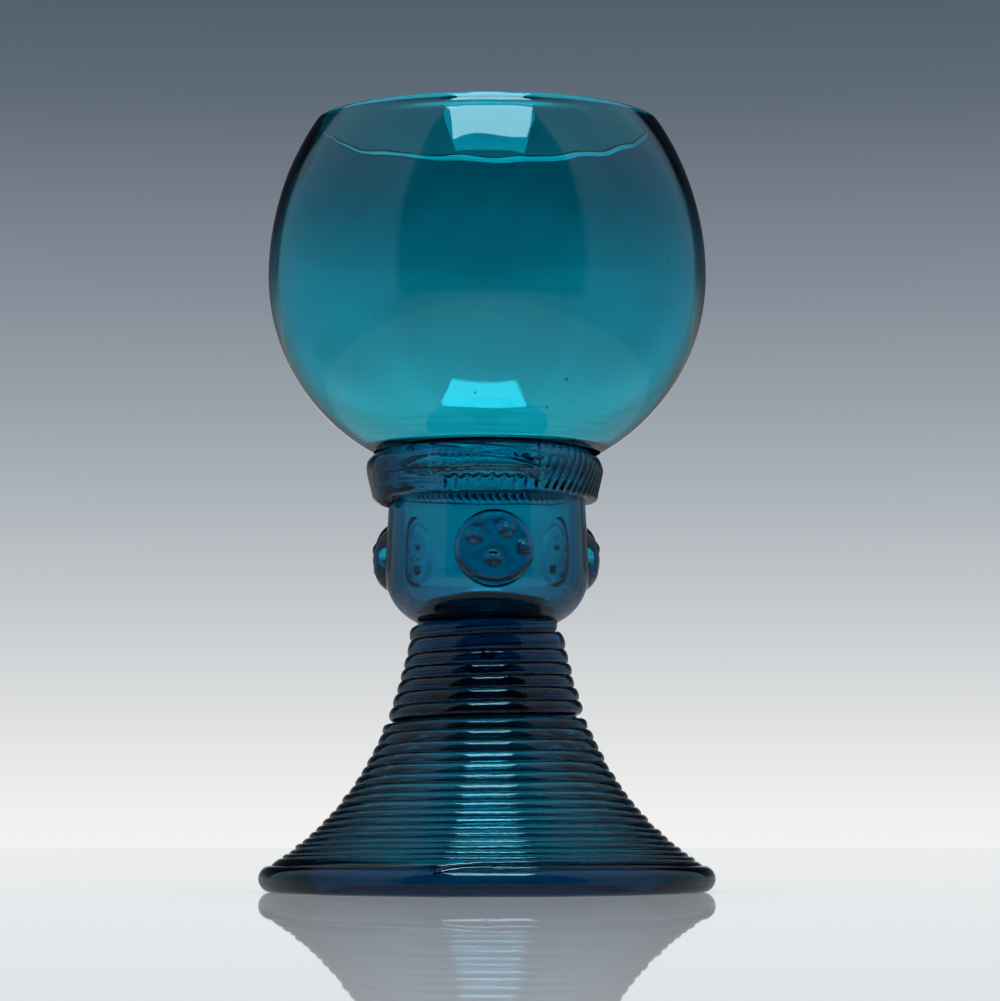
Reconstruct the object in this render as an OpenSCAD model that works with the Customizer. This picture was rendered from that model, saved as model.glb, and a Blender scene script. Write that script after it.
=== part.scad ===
// Roemer: a blown wine glass with a round bowl, a hollow prunted stem and a thread-wound trumpet foot.
// Lengths are in millimetres. The foot stands on Z = 0, Z points up and the front faces -Y.

/* [Heights] */
// Height of the foot, from the table to the stem
foot_h = 47.4; // [45:0.1:50]
// Height of the stem, from the foot to the bowl
stem_h = 26.1; // [24.5:0.1:30]
// Height of the bowl, from the stem to the rim
bowl_h = 62.7; // [58:0.1:68]

/* [Bowl] */
// Widest outer radius of the bowl
bowl_r = 38.9; // [36:0.1:42]
// Height of the widest place above the lower edge of the bowl
belly_h = 35.1; // [32:0.1:39]
// Outer radius of the mouth
mouth_r = 30.9; // [28:0.1:33]
// Wall thickness of the bowl
bowl_wall = 1.6; // [1.4:0.1:2.2]
// How much thicker the rounded rim is than the wall, on each side
rim_swell = 0.2; // [0.1:0.05:0.4]
// Height of the straight neck below the round of the bowl
bowl_neck_h = 2.4; // [1.5:0.1:3.2]

/* [Stem] */
// Outer radius of the neck, where the stem meets the bowl
neck_r = 17.4; // [16.2:0.1:17.6]
// Widest outer radius of the stem
stem_r = 18; // [17.8:0.1:19]
// Radius of the stem's flat lower end
heel_r = 12.9; // [12.4:0.1:13.8]
// Radius of the curve that rounds the stem in at the bottom
heel_curve = 9.4; // [8.5:0.1:10]
// Height of the straight neck of the stem
stem_neck_h = 5.6; // [5.4:0.1:6.2]
// Wall thickness of the stem
stem_wall = 3.2; // [2.6:0.1:3.6]

/* [Joining plug] */
// Radius of the plug that closes the stem
plug_r = 10.4; // [9.6:0.1:10.8]
// Height of the plug at its middle
plug_h = 4.6; // [3.6:0.1:6]
// How much the top of the plug is domed
plug_dome = 1.5; // [0.8:0.1:2]

/* [Milled collar] */
// Height of the collar at the neck
collar_h = 7.5; // [7:0.1:8]
// Thickness of the collar at its top
collar_t = 3.8; // [3:0.1:4.6]
// Thickness of the collar at its bottom, as a share of that at its top
collar_taper = 0.72; // [0.6:0.01:1]
// Number of ribs rolled round the collar
rib_count = 64; // [48:2:80]
// Depth of the ribs
rib_d = 0.5; // [0.2:0.05:0.8]
// Angle that a rib leans over the height of the collar
rib_lean = 7; // [0:0.5:10]
// Angle from the front at which the pointed end of the collar lies
lap_start = -28; // [-90:1:90]
// Angle over which the two ends of the collar lie one above the other
lap_angle = 56; // [30:1:80]
// Share of the height that the pointed end takes up
lap_share = 0.5; // [0.3:0.01:0.6]
// Width of the seam between the two ends
seam = 0.3; // [0.2:0.05:0.5]

/* [Prunts] */
// Radius of the front prunt
prunt_r = 6.8; // [6:0.1:7.4]
// Radius of the two side prunts
side_prunt_r = 6.1; // [5.4:0.1:7]
// How far the front prunt stands out of the stem
prunt_t = 2.8; // [2:0.1:3.6]
// How far the side prunts stand out of the stem
side_prunt_t = 3.6; // [2.4:0.1:4.2]
// Distance from the neck down to the front prunt
prunt_drop = 2.1; // [1.6:0.1:2.6]
// Angle of the front prunt from the front, to the right
prunt_turn = 4.6; // [-10:0.1:10]
// Angle of each side prunt from the front
side_turn = 117; // [95:1:125]
// Radius of the rounded edge of a prunt
prunt_edge = 1.7; // [1:0.1:1.9]
// Radius of a pearl on a prunt
pearl_r = 1.1; // [0.7:0.05:1.3]
// Distance of the pearls from the middle of a prunt
pearl_ring = 3.4; // [2.6:0.1:3.6]
// Angle of the first pearl
pearl_turn = 62; // [0:1:89]

/* [Foot] */
// Widest radius of the foot
foot_r = 40.2; // [39:0.1:42]
// Outer radius of the foot's core at its top
cone_top_r = 11.6; // [11:0.1:12]
// Wall thickness of the foot's core
cone_wall = 1.8; // [1.2:0.1:2.4]
// Thickness of the closed top of the foot's core
cone_cap = 3; // [2:0.1:4]
// Slope of the core at its top, from upright
slope_top = 7.5; // [6.5:0.1:8.5]
// Slope of the core where its upper and lower curves meet
slope_mid = 25; // [24:0.1:26]
// Slope of the core at its lower edge
slope_edge = 58; // [56:0.1:60]
// Radius of the rounded outer edge of the rim
rim_r = 2.3; // [2:0.05:2.6]
// Width of the rim from its inner to its outer edge
rim_w = 7.4; // [6.8:0.1:9]
// Height of the rim where the core stands on it
lip_h = 3.5; // [3.1:0.1:3.9]

/* [Wound threads] */
// How far the threads stand out of the core
thread_t = 1.6; // [1.2:0.05:2]
// Open width between neighbouring turns
turn_gap = 0.5; // [0.48:0.01:0.6]
// Turns of the upper thread
upper_turns = 6.5; // [5:0.25:7]
// Turns of the lower thread
lower_turns = 18.3; // [15:0.1:18.5]
// Distance of the upper thread's first turn from the top of the core
upper_start = 1.4; // [1.3:0.1:1.8]
// Step along the slant from the end of the upper thread to the start of the lower one
bare_step = 2.4; // [2.2:0.1:3]
// Share of the core's slant that lies above the bare place
bare_share = 0.336; // [0.32:0.002:0.35]
// Distance of the lower thread's last turn from the lower edge of the core
lower_end = 2.4; // [2.2:0.1:2.8]
// Spacing of the lower thread's last turns as a share of its first turns
pitch_share = 0.62; // [0.6:0.01:1]
// Angle from the front at which the upper thread starts, to the right
upper_turn = 48; // [0:1:90]
// Angle from the front at which the lower thread starts, to the right
lower_turn = 88; // [0:1:90]

/* [Fit] */
// Clearance between pieces that are melted together
fuse_gap = 0.05; // [0.02:0.01:0.1]

/* [Hidden] */
$fn = 96;
deg = 180 / PI;
// lengths are kept to the nearest thousandth, so that curves meet exactly
function clean(x) = round(x * 1000) / 1000;
bowl_colour = [0.05, 0.47, 0.56, 0.6];
stem_colour = [0.04, 0.36, 0.48, 0.7];
foot_colour = [0.02, 0.22, 0.33, 0.85];

// heights of the joints
bowl_z = foot_h + stem_h;
rim_z = bowl_z + bowl_h;
belly_z = bowl_z + belly_h;
flare_z = bowl_z + bowl_neck_h;
neck_z = bowl_z - stem_neck_h;

// bowl curves: each arc is upright at the widest place
lower_drop = belly_z - flare_z;
lower_in = bowl_r - neck_r;
lower_curve = clean((lower_in * lower_in + lower_drop * lower_drop) / (2 * lower_in));
lower_x = bowl_r - lower_curve;
bead_r = bowl_wall / 2 + rim_swell;
bead_z = rim_z - bead_r;
upper_rise = bead_z - belly_z;
upper_in = bowl_r - mouth_r;
upper_curve = clean((upper_in * upper_in + upper_rise * upper_rise) / (2 * upper_in));
upper_x = bowl_r - upper_curve;
bead_angle = asin(upper_rise / (upper_curve - bowl_wall / 2));
bead_x = upper_x + (upper_curve - bowl_wall / 2) * cos(bead_angle);

// stem: rounded heel below the widest place, slightly tapered barrel above it
heel_x = stem_r - heel_curve;
heel_z = clean(foot_h + sqrt(pow(heel_curve, 2) - pow(heel_r - heel_x, 2)));
throat_r = neck_r - stem_wall;
prunt_z = neck_z - prunt_drop - prunt_r;
prunt_root = stem_r - stem_wall;

// plug dome
dome_r = (plug_r * plug_r + plug_dome * plug_dome) / (2 * plug_dome);

// foot core: two hollow curves that meet at one slope
bead_foot_x = foot_r - rim_r;
edge_r = bead_foot_x - rim_r / 3;
core_drop = foot_h - lip_h;
core_reach = edge_r - cone_top_r;
rise_a = sin(slope_mid) - sin(slope_top);
rise_b = sin(slope_edge) - sin(slope_mid);
run_a = cos(slope_top) - cos(slope_mid);
run_b = cos(slope_mid) - cos(slope_edge);
mix = rise_a * run_b - rise_b * run_a;
curve_a = (core_drop * run_b - core_reach * rise_b) / mix;
curve_b = (rise_a * core_reach - run_a * core_drop) / mix;
mid_a = [cone_top_r + curve_a * cos(slope_top), foot_h + curve_a * sin(slope_top)];
meet = mid_a - curve_a * [cos(slope_mid), sin(slope_mid)];
mid_b = meet + curve_b * [cos(slope_mid), sin(slope_mid)];
slant_a = curve_a * (slope_mid - slope_top) / deg;
slant_b = curve_b * (slope_edge - slope_mid) / deg;
slant = slant_a + slant_b;

// wound threads: each runs down the slant as it goes round
ring_count = 24;
upper_run = bare_share * slant - bare_step / 2 - upper_start;
lower_start = bare_share * slant + bare_step / 2;
lower_run = slant - lower_end - lower_start;
upper_pitch = upper_run / upper_turns;
lower_mean = lower_run / lower_turns;
lower_pitch_a = 2 * lower_mean / (1 + pitch_share);
lower_pitch_b = lower_pitch_a * pitch_share;

function slope_at(u) = u < slant_a ? slope_top + u / curve_a * deg : slope_mid + (u - slant_a) / curve_b * deg;
function mid_at(u) = u < slant_a ? mid_a : mid_b;
function curve_at(u) = u < slant_a ? curve_a : curve_b;
// point in the section plane, a given distance down the slant and out of the core
function core_at(u, out) = mid_at(u) - (curve_at(u) - out) * [cos(slope_at(u)), sin(slope_at(u))];
// a section point turned to its place round the glass, angle measured from the front to the right
function round_at(p, a) = [p[0] * sin(a), -p[0] * cos(a), p[1]];
// place down the slant after t turns, with the spacing changing evenly
function down_at(t, turns, first, pa, pb) = first + pa * t + (pb - pa) * t * t / (2 * turns);
function pitch_at(t, turns, pa, pb) = pa + (pb - pa) * t / turns;
// thread size along its length, drawn in at both ends
function draw_in(t, turns) = min(1, 0.45 + 8 * t, 0.45 + 8 * (turns - t));
function thread_outline(w, t, seat) = [
  [-w / 2, seat],
  [w / 2, seat],
  [w / 2, seat + 0.45 * (t - seat)],
  [w / 4, t],
  [-w / 4, t],
  [-w / 2, seat + 0.45 * (t - seat)]
];
// the core is round and the thread runs in short straight steps, so it is seated this far out
function seat_at(u) = core_at(u, 0)[0] * (1 - cos(180 / ring_count)) + fuse_gap;

function thread_rings(turns, first, pa, pb, turn) = [
  for (i = [0:round(turns * ring_count)])
    let (t = i / ring_count)
    let (u = down_at(t, turns, first, pa, pb))
    let (w = (pitch_at(t, turns, pa, pb) - turn_gap) * draw_in(t, turns))
    let (seat = seat_at(u))
    [
      for (q = thread_outline(w, seat + (thread_t - seat) * draw_in(t, turns), seat))
        round_at(core_at(u + q[0], q[1]), turn - 360 * t)
    ]
];

// least distance between the points of a thread and the points of its next turn
function least_gap(rings) = min([
  for (i = [0:len(rings) - ring_count - 1])
    min([
      for (p = rings[i])
        min([for (q = rings[i + ring_count]) norm(p - q)])
    ])
]);

// closed skin over a row of rings that have the same number of points
module skin(rings) {
  sides = len(rings[0]);
  last = len(rings) - 1;
  walls = [
    for (i = [0:last - 1])
      for (j = [0:sides - 1])
        let (a = i * sides + j)
        let (b = i * sides + (j + 1) % sides)
        each [[a, b, a + sides], [b, b + sides, a + sides]]
  ];
  first_end = [for (j = [sides - 1:-1:0]) j];
  last_end = [for (j = [0:sides - 1]) last * sides + j];
  polyhedron(
    points = [for (ring = rings) each ring],
    faces = concat(walls, [first_end], [last_end]),
    convexity = 10
  );
}

upper_rings = thread_rings(upper_turns, upper_start, upper_pitch, upper_pitch, upper_turn);
lower_rings = thread_rings(lower_turns, lower_start, lower_pitch_a, lower_pitch_b, lower_turn);
echo(str("least gap of the upper thread to itself: ", least_gap(upper_rings)));
echo(str("least gap of the lower thread to itself: ", least_gap(lower_rings)));

// milled collar
collar_z = flare_z - fuse_gap - collar_h;
// the top of the collar rises outwards as the underside of the bowl does
flare_slope = (neck_r - lower_x) / lower_drop;
collar_step = 180 / rib_count;
collar_steps = floor((360 + lap_angle) / collar_step) - 1;
collar_in = (neck_r + fuse_gap) / cos(collar_step);

// share of the height at which the two ends part, falling from the pointed end
function part_at(a) = 1 - lap_share * max(0.12, min(1, a / lap_angle));
function collar_low(a) = a <= lap_angle ? part_at(a) : 0;
function collar_high(a) = a < 360 ? 1 : part_at(a - 360) - seam / collar_h;
function collar_swell(h) = collar_t * (collar_taper + (1 - collar_taper) * h);
function collar_point(a, h, share, rib) =
  round_at(
    [
      collar_in + share * (collar_swell(h) + rib),
      collar_z + h * (collar_h + flare_slope * share * (collar_swell(h) + rib))
    ],
    lap_start + a + rib_lean * (h - 0.5) * share
  );

collar_rings = [
  for (i = [0:collar_steps])
    let (a = i * collar_step)
    let (low = collar_low(a))
    let (high = collar_high(a))
    let (span = high - low)
    let (rib = (i % 2 == 0 ? 0.5 : -0.5) * rib_d)
    [
      collar_point(a, low, 0, 0),
      collar_point(a, high, 0, 0),
      collar_point(a, high, 0.62, rib),
      collar_point(a, low + 0.86 * span, 1, rib),
      collar_point(a, low + 0.5 * span, 1, rib),
      collar_point(a, low + 0.14 * span, 1, rib),
      collar_point(a, low, 0.62, rib)
    ]
];

// Wall section that follows a round of a given outer radius
module wall_round(r, t) {
  difference() {
    circle(r);
    circle(r - t);
  }
}

// Bowl: lower round from the neck to the widest place, upper round from there to the rim
module bowl() {
  reach = 2 * upper_curve;
  color(bowl_colour)
  rotate_extrude()
  union() {
    translate([throat_r, bowl_z]) square([stem_wall, bowl_neck_h + bowl_wall / 16]);
    intersection() {
      translate([lower_x, belly_z]) wall_round(lower_curve, bowl_wall);
      translate([throat_r, bowl_z]) square([bowl_r, belly_h]);
    }
    translate([upper_x, belly_z])
    intersection() {
      wall_round(upper_curve, bowl_wall);
      polygon([[0, 0], [reach, 0], [reach * cos(bead_angle), reach * sin(bead_angle)]]);
    }
    translate([bead_x, bead_z]) circle(bead_r);
  }
}

// Stem section: straight neck, barrel and rounded heel
module stem_outside() {
  intersection() {
    translate([heel_x, heel_z]) circle(heel_curve);
    translate([heel_x, foot_h]) square([heel_curve, heel_z - foot_h]);
  }
  translate([0, foot_h]) square([heel_x, heel_z - foot_h]);
  polygon([[0, heel_z], [stem_r, heel_z], [neck_r, neck_z], [0, neck_z]]);
  translate([0, neck_z]) square([neck_r, stem_neck_h]);
}

module stem_inside() {
  intersection() {
    translate([heel_x, heel_z]) circle(heel_curve - stem_wall);
    translate([heel_x, foot_h]) square([heel_curve, heel_z - foot_h]);
  }
  translate([0, heel_z - heel_curve + stem_wall]) square([heel_x, heel_curve - stem_wall]);
  polygon([[0, heel_z], [stem_r - stem_wall, heel_z], [throat_r, neck_z], [0, neck_z]]);
  translate([0, neck_z]) square([throat_r, stem_neck_h + 1]);
  translate([0, foot_h - 1]) square([plug_r + fuse_gap, heel_z - foot_h]);
}

module stem() {
  color(stem_colour)
  rotate_extrude()
  difference() {
    stem_outside();
    stem_inside();
  }
}

module joining_plug() {
  color(stem_colour)
  rotate_extrude()
  intersection() {
    translate([0, foot_h]) square([plug_r, plug_h]);
    translate([0, foot_h + plug_h - dome_r]) circle(dome_r);
  }
}

module milled_collar() {
  color(stem_colour) skin(collar_rings);
}

// Prunt: round pressed disc with four pearls, its back fitted to the stem
module prunt(r, t, turn) {
  color(stem_colour)
  difference() {
    translate([0, 0, prunt_z])
    rotate([0, 0, turn])
    rotate([90, 0, 0])
    union() {
      rotate_extrude() {
        translate([0, prunt_root]) square([r, stem_r + t - prunt_edge - prunt_root]);
        translate([0, prunt_root]) square([r - prunt_edge, stem_r + t - prunt_root]);
        translate([r - prunt_edge, stem_r + t - prunt_edge]) circle(prunt_edge);
      }
      for (k = [0:3])
        rotate([0, 0, pearl_turn + 90 * k])
        translate([pearl_ring * r / prunt_r, 0, stem_r + t])
        sphere(pearl_r);
    }
    rotate_extrude() stem_outside();
  }
}

module prunt_front() {
  prunt(prunt_r, prunt_t, prunt_turn);
}

module prunt_right() {
  prunt(side_prunt_r, side_prunt_t, side_turn);
}

module prunt_left() {
  prunt(side_prunt_r, side_prunt_t, -side_turn);
}

// Foot core: closed top, two hollow curves, lower edge standing on the rim
module foot_cone() {
  steps = 36;
  outside = [for (i = [0:steps]) core_at(slant * i / steps, 0)];
  inside = [for (i = [0:steps]) core_at(slant * i / steps, -cone_wall)];
  color(foot_colour)
  rotate_extrude()
  difference() {
    polygon(concat([[0, foot_h]], outside, [[0, lip_h]]));
    intersection() {
      polygon(concat([[0, foot_h]], inside, [[0, inside[steps][1]]]));
      square([foot_r, foot_h - cone_cap]);
    }
  }
}

module upper_trail() {
  color(foot_colour) skin(upper_rings);
}

module lower_trail() {
  color(foot_colour) skin(lower_rings);
}

// Foot rim: flat below, rounded at both edges, hollowed where the core stands in it
module foot_rim() {
  rim_in_r = lip_h / 2;
  rim_in_x = foot_r - rim_w + rim_in_r;
  color(foot_colour)
  rotate_extrude()
  difference() {
    union() {
      translate([bead_foot_x, rim_r]) circle(rim_r);
      translate([rim_in_x, rim_in_r]) circle(rim_in_r);
      translate([rim_in_x, 0]) square([bead_foot_x - rim_in_x, lip_h]);
    }
    difference() {
      translate([0, lip_h]) square([edge_r + fuse_gap, 2 * rim_r]);
      translate(mid_b) circle(curve_b - fuse_gap);
    }
  }
}

bowl();
stem();
milled_collar();
prunt_front();
prunt_right();
prunt_left();
joining_plug();
foot_cone();
upper_trail();
lower_trail();
foot_rim();
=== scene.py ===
import bpy
import numpy as np
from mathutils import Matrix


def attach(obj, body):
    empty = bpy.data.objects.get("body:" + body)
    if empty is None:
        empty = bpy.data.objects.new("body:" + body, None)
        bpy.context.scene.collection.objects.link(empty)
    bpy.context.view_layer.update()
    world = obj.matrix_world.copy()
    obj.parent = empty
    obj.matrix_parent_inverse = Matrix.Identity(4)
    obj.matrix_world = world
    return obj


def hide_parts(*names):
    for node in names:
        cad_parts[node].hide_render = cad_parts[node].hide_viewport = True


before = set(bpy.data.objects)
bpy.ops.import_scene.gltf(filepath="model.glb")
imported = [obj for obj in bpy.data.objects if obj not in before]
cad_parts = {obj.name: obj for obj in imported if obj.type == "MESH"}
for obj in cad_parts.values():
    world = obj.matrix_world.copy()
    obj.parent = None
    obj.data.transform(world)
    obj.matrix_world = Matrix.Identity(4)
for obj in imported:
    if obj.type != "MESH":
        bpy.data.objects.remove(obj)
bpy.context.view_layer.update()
print("frame loaded")

scene = bpy.context.scene
scene.view_settings.view_transform = "Standard"
# light crosses many walls of glass before it leaves
scene.cycles.max_bounces = 48
scene.cycles.transmission_bounces = 48
scene.cycles.glossy_bounces = 24

mm = 0.001
fullTurn = 2 * np.pi
jointEdge = 0.5  # the fused attribute is 0 on open glass, 1 in a melted joint and this along its edge


def around(radius, height, turn):
    # point at a radius and a height, turned by an angle in radians from the front (-Y) to the right (+X)
    radius, height, turn = np.broadcast_arrays(radius, height, turn)
    return np.stack([radius * np.sin(turn), -radius * np.cos(turn), height], -1)


def wrapped(angle):
    # the same angle brought to within half a turn either way of the front
    return np.mod(angle + np.pi, fullTurn) - np.pi


def ringTurns(count):
    # even angles once round, the last one short of the first
    return np.linspace(0, fullTurn, count, endpoint=False)


def arcAt(x, z, radius, angles):
    # circle arc in the section plane: centre plus radius times cosine and sine of each angle in degrees
    a = np.radians(angles)
    return np.stack([x + radius * np.cos(a), z + radius * np.sin(a)], -1)


def arc(x, z, radius, start, end, count):
    # the same arc at even angles
    return arcAt(x, z, radius, np.linspace(start, end, count))


def line(start, end, count):
    # straight run in the section plane: start plus even shares of the way to the end
    share = np.linspace(0, 1, count)[:, None]
    return np.array(start) * (1 - share) + np.array(end) * share


def bend(a, b, c, d, count):
    # cubic curve from a to d that leaves towards b and arrives from c
    s = np.linspace(0, 1, count)[:, None]
    a, b, c, d = map(np.array, (a, b, c, d))
    return a * (1 - s) ** 3 + 3 * b * s * (1 - s) ** 2 + 3 * c * s ** 2 * (1 - s) + d * s ** 3


def step(x, low, high):
    # smooth rise from 0 at low to 1 at high: 3 s^2 - 2 s^3
    s = np.clip((x - low) / (high - low), 0, 1)
    return s * s * (3 - 2 * s)


def waves(turn, height, rows):
    # sum of sines, each row giving a size, a whole number of waves round, waves per mm of height and an offset
    return sum(size * np.sin(count * turn + fullTurn * rate * height + shift) for size, count, rate, shift in rows)


def gridFaces(rows, columns, closeRows=False, closeColumns=False):
    # four corners between neighbouring rows and columns; a closed direction joins its last line to its first
    rowSpan, columnSpan = np.arange(rows - (not closeRows)), np.arange(columns - (not closeColumns))
    i, j = np.meshgrid(rowSpan, columnSpan, indexing="ij")
    k, m = (i + 1) % rows, (j + 1) % columns
    return np.stack([i * columns + j, k * columns + j, k * columns + m, i * columns + m], -1).reshape(-1, 4)


def fanFaces(first, count, tip, backwards=False):
    # triangles from a ring of points to one tip point
    j = np.arange(count)
    a, b = first + j, first + (j + 1) % count
    return np.stack([b, a, np.full(count, tip)] if backwards else [a, b, np.full(count, tip)], -1)


def cappedFaces(rows, columns):
    # rings joined row by row, each end closed by a fan to one of the two points that follow them
    return [gridFaces(rows, columns, False, True), fanFaces(0, columns, rows * columns),
            fanFaces((rows - 1) * columns, columns, rows * columns + 1, True)]


def outward(points, faces):
    # turns every face round when the volume that the faces enclose comes out negative
    total = 0.0
    for group in faces:
        for k in range(1, group.shape[1] - 1):
            across = np.cross(points[group[:, k]], points[group[:, k + 1]])
            total += np.einsum("ij,ij->", points[group[:, 0]], across)
    return faces if total > 0 else [group[:, ::-1] for group in faces]


def turned(profile, turn, shape=None):
    # profile of radius and height swung round the axis; shape may change both along the way
    angle = turn[None, :] + np.zeros((len(profile), 1))
    radius, height = profile[:, :1] + 0 * angle, profile[:, 1:] + 0 * angle
    if shape is not None:
        radius, height = shape(radius, height, angle)
    return around(radius, height, angle)


def swungBody(profile, columns, shape):
    # closed section swung once round the axis: its corners and its outward faces
    points = turned(profile, ringTurns(columns), shape).reshape(-1, 3)
    return points, outward(points, [gridFaces(len(profile), columns, True, True)])


def makePiece(name, node, material, points, faces, fused):
    # mesh from whole arrays: corners in mm, quads and triangles, and how far each corner lies in a melted joint
    mesh = bpy.data.meshes.new(name)
    sizes = np.concatenate([np.full(len(group), group.shape[1]) for group in faces])
    loops = np.concatenate([group.ravel() for group in faces])
    mesh.vertices.add(len(points))
    mesh.vertices.foreach_set("co", (points * mm).astype(np.float32).ravel())
    mesh.loops.add(len(loops))
    mesh.loops.foreach_set("vertex_index", loops.astype(np.int32))
    mesh.polygons.add(len(sizes))
    mesh.polygons.foreach_set("loop_start", np.concatenate([[0], np.cumsum(sizes)[:-1]]).astype(np.int32))
    mesh.update(calc_edges=True)
    mesh.polygons.foreach_set("use_smooth", np.ones(len(sizes), dtype=bool))
    joint = mesh.attributes.new("fused", "FLOAT", "POINT")
    joint.data.foreach_set("value", np.clip(fused, 0, 1).astype(np.float32).ravel())
    mesh.validate()
    mesh.materials.append(material)
    piece = bpy.data.objects.new(name, mesh)
    scene.collection.objects.link(piece)
    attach(piece, "root")
    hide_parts(node)
    print(name, len(points), "points", int((sizes - 2).sum()), "triangles")


def makeCapped(name, node, material, rings, tips, values, tipValues):
    # piece of stacked rings, closed at each end by a fan to a tip point
    points = np.concatenate([rings.reshape(-1, 3), tips])
    faces = outward(points, cappedFaces(*values.shape))
    makePiece(name, node, material, points, faces, np.concatenate([values.ravel(), tipValues]))


def nodeMaker(owner):
    # empties the node tree of a material or a world, and gives two functions that add nodes to it
    owner.use_nodes = True
    tree = owner.node_tree
    tree.nodes.clear()

    def add(kind, sockets=(), **settings):
        # settings first, then each socket takes a plain value or a link
        node = tree.nodes.new(kind)
        for name, value in settings.items():
            setattr(node, name, value)
        for key, value in dict(sockets).items():
            if isinstance(value, bpy.types.NodeSocket):
                tree.links.new(value, node.inputs[key])
            else:
                node.inputs[key].default_value = value
        return node

    def math(operation, *values):
        # one sum on plain numbers or sockets
        return add("ShaderNodeMath", dict(enumerate(values)), operation=operation).outputs["Value"]

    return add, math


# camera fitted to the photo
cameraPlace = {"distance": 0.6205, "height": 0.014, "pitch": 5.043, "yaw": -0.2115, "lens": 126.76, "sensor": 36}
lensData = bpy.data.cameras.new("photoLens")
lensData.sensor_fit = "HORIZONTAL"
lensData.sensor_width = cameraPlace["sensor"]
lensData.lens = cameraPlace["lens"]
lensData.clip_start = 0.01
photoCamera = bpy.data.objects.new("photoCamera", lensData)
photoCamera.location = (0, -cameraPlace["distance"], cameraPlace["height"])
photoCamera.rotation_euler = (np.radians(90 + cameraPlace["pitch"]), 0, np.radians(cameraPlace["yaw"]))
scene.collection.objects.link(photoCamera)
scene.camera = photoCamera
print("camera placed")

# glass: one melt, tinted through its thickness; each gather has its own strength of tint and scale of ripple
glassMelt = {
    "tint": (0.0, 0.888, 0.9235), "density": 2268.0, "bend": 1.5, "jointLimit": 0.502,
    "rippleDepth": 0.00003, "rippleDetail": 2.0,
    "gathers": {
        "bowlGlass": (1.4, 90), "stemGlass": (1.08, 140), "pruntGlass": (0.6, 140), "collarGlass": (0.55, 140),
        "footGlass": (0.58, 160), "threadGlass": (0.7, 160), "upperThreadGlass": (1.0, 160), "rimGlass": (1.28, 160),
    },
}


def makeGlass(name, strength, rippleScale):
    # clear shader over a tinted inside; joints that are melted together bend no light
    g = glassMelt
    material = bpy.data.materials.new(name)
    add, math = nodeMaker(material)
    joint = add("ShaderNodeAttribute", attribute_name="fused").outputs["Fac"]
    isJoint = math("GREATER_THAN", joint, g["jointLimit"])
    bendLight = add("ShaderNodeMapRange", {"Value": isJoint, "To Min": g["bend"], "To Max": 1.0})
    # fine ripple of hand-worked glass
    place = add("ShaderNodeTexCoord").outputs["Object"]
    ripple = add("ShaderNodeTexNoise", {"Vector": place, "Scale": rippleScale, "Detail": g["rippleDetail"]})
    relief = add("ShaderNodeBump", {"Height": ripple.outputs["Fac"], "Strength": 1.0, "Distance": g["rippleDepth"]})
    shader = add("ShaderNodeBsdfPrincipled", {
        "Base Color": (1, 1, 1, 1), "Transmission Weight": 1.0, "Roughness": 0.0, "IOR": g["bend"],
        "Normal": relief.outputs["Normal"]})
    material.node_tree.links.new(bendLight.outputs["Result"], shader.inputs["IOR"])
    inside = add("ShaderNodeVolumeAbsorption", {"Color": (*g["tint"], 1), "Density": strength * g["density"]})
    add("ShaderNodeOutputMaterial", {"Surface": shader.outputs["BSDF"], "Volume": inside.outputs["Volume"]})
    return material


glass = {name: makeGlass(name, *values) for name, values in glassMelt["gathers"].items()}
print("glass mixed")

# bowl: blown globe with a rounded rim and a funnel into the stem
bowl = {
    "neckRadius": 17.4, "throatRadius": 16.1, "bottom": 73.48, "flare": 75.9, "belly": 108.6, "collarTop": 77.2,
    "lowerCurve": 35.617, "lowerX": 3.283, "flareAngle": -66.65, "innerAngle": -58.0,
    "upperCurve": 47.56, "upperX": -8.66, "mouthAngle": 34.54,
    "wall": 0.85, "neckWall": 0.7, "rimWall": 1.4, "neckEase": (8, 40), "rimEase": 6,
    "lowRows": 110, "highRows": 80, "columns": 220,
    # funnel: how far and which way it leaves the inner wall, and how it comes into the throat
    "funnelReach": 3.6, "funnelWay": (-0.848, -0.53), "throatBend": 78.2, "throatTop": 75.6,
    # waves: size, count round, waves per mm of height, offset
    "outerWaves": [(0.04, 2, 0.0, 0.6), (0.02, 3, 0.011, 1.9), (0.006, 7, 0.03, 0.2)],
    "innerWaves": [(0.10, 1, 0.0, 2.6), (0.05, 2, 0.004, 2.2), (0.02, 5, 0.025, 0.4), (0.008, 9, 0.05, 1.1),
                   (0.004, 14, 0.02, 2.8)],
    "rimWaves": [(0.12, 2, 0.0, 1.57), (0.05, 3, 0.0, 0.9), (0.008, 7, 0.0, 2.0), (0.004, 13, 0.0, 0.4)],
    "wavesFrom": (77, 84), "tilt": 1.7, "rimFrom": (112, 136),
    # ripple under the rim: size, count round, radians per mm of height, offset
    "topRipple": (0.025, 21, 0.4, 0.9), "rippleFrom": (118, 129),
    # groove under the front of the bead: depth, height, width, reach round in radians
    "rimGroove": (0.2, 134.2, 0.75, 0.5),
    # tool rings above the neck: depth, two spacings, height and width of the band
    "toolRings": (0.010, 1.1, 0.63, 80.5, 2.4),
    # seeds: turn in degrees, height, size
    "seeds": [(25.5, 87.0, 0.26), (22.0, 82.6, 0.22), (-4.0, 84.6, 0.2), (52.8, 108.0, 0.24), (-31.0, 97.0, 0.15),
              (-112.0, 101.0, 0.2), (151.0, 93.0, 0.22), (96.0, 118.0, 0.16), (-158.0, 112.0, 0.17),
              (12.0, 120.0, 0.14)],
    "seedStretch": 1.25, "seedRows": 7, "seedColumns": 12,
}


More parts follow.
